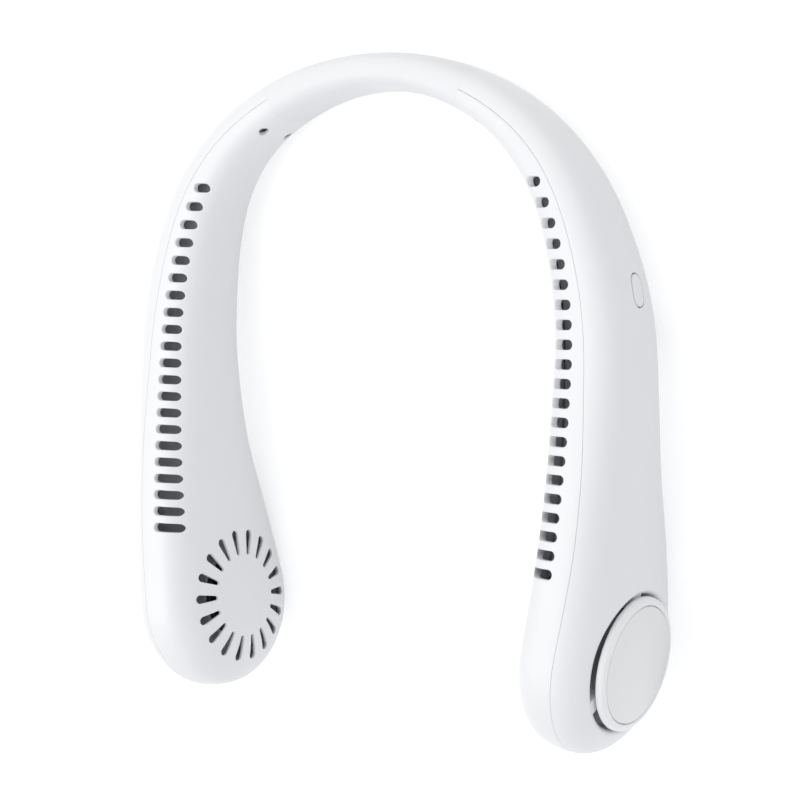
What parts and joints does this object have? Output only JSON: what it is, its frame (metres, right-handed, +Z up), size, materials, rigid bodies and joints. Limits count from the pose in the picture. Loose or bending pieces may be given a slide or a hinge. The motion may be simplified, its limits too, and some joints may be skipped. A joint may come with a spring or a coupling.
{
  "type": "electric neck fan",
  "caption": "U-shaped wearable fan for the neck: two hollow arms with air outlets, a blower in each round end, and a flexible bow between them.",
  "frame": {"origin": "middle of the bounding box, on the table that the fan lies on", "axes": "+X towards the arm with the button, +Y towards the bow, +Z up; the outlets face up"},
  "size_m": [0.1858, 0.2074, 0.0595],
  "materials": {
    "white_abs": "satin gloss",
    "white_cap": "satin gloss",
    "inlay_white": "matte",
    "sleeve_rubber": "matte soft-touch",
    "spring_steel": "ground",
    "screw_steel": "plated",
    "wire_sleeve": "matte",
    "clamp_plastic": "matte",
    "impeller_plastic": "matte",
    "yoke_steel": "plated",
    "magnet_ferrite": "matte",
    "shaft_steel": "polished",
    "bush_bronze": "sintered",
    "core_steel": "lacquered",
    "coil_copper": "enamelled",
    "board_green": "solder mask",
    "guide_plastic": "matte",
    "cell_foil": "wrapped",
    "socket_steel": "plated",
    "switch_plastic": "matte",
    "stem_plastic": "matte"
  },
  "bodies": {
    "right_arm": {"right_bow_clamp": "clamp_plastic", "right_bow_screws": "screw_steel", "right_outer_shell": "white_abs", "right_inner_shell": "white_abs", "right_intake_cap": "white_cap", "right_cap_inlay": "inlay_white", "right_shaft_bush": "bush_bronze", "right_stator_core": "core_steel", "right_stator_coils": "coil_copper", "right_motor_board": "board_green", "right_motor_screws": "screw_steel", "right_air_guide": "guide_plastic", "right_battery_cell": "cell_foil", "main_board": "board_green", "charging_socket": "socket_steel", "switch_body": "switch_plastic", "bow_sleeve": "sleeve_rubber", "bow_spring": "spring_steel", "bow_cable": "wire_sleeve"},
    "left_arm": {"left_bow_clamp": "clamp_plastic", "left_bow_screws": "screw_steel", "left_outer_shell": "white_abs", "left_inner_shell": "white_abs", "left_intake_cap": "white_cap", "left_cap_inlay": "inlay_white", "left_shaft_bush": "bush_bronze", "left_stator_core": "core_steel", "left_stator_coils": "coil_copper", "left_motor_board": "board_green", "left_motor_screws": "screw_steel", "left_air_guide": "guide_plastic", "left_battery_cell": "cell_foil"},
    "right_rotor": {"right_impeller": "impeller_plastic", "right_rotor_yoke": "yoke_steel", "right_rotor_magnet": "magnet_ferrite", "right_motor_shaft": "shaft_steel"},
    "left_rotor": {"left_impeller": "impeller_plastic", "left_rotor_yoke": "yoke_steel", "left_rotor_magnet": "magnet_ferrite", "left_motor_shaft": "shaft_steel"},
    "power_button": {"power_button": "white_abs", "switch_stem": "stem_plastic"}
  },
  "joints": [
    {"name": "bow_flex", "type": "hinge", "parent": "right_arm", "child": "left_arm", "pos_m": [0, 0.09743, 0.01047], "axis": [0, -0.2145, -0.9767], "range_deg": [-6, 22], "stiffness_Nm_per_rad": 1.5, "deforming": ["bow_sleeve", "bow_spring", "bow_cable"]},
    {"name": "right_fan_spin", "type": "hinge", "parent": "right_arm", "child": "right_rotor", "pos_m": [0.07464, -0.07377, 0.02974], "axis": [0.9909, -0.1311, 0.0288], "continuous": true},
    {"name": "left_fan_spin", "type": "hinge", "parent": "left_arm", "child": "left_rotor", "pos_m": [-0.07464, -0.07377, 0.02974], "axis": [-0.9909, -0.1311, 0.0288], "continuous": true},
    {"name": "button_press", "type": "slide", "parent": "right_arm", "child": "power_button", "axis": [-0.9847, -0.1701, 0.0373], "range_m": [0, 0.0005], "stiffness_N_per_m": 600, "springref_m": -0.0005}
  ]
}
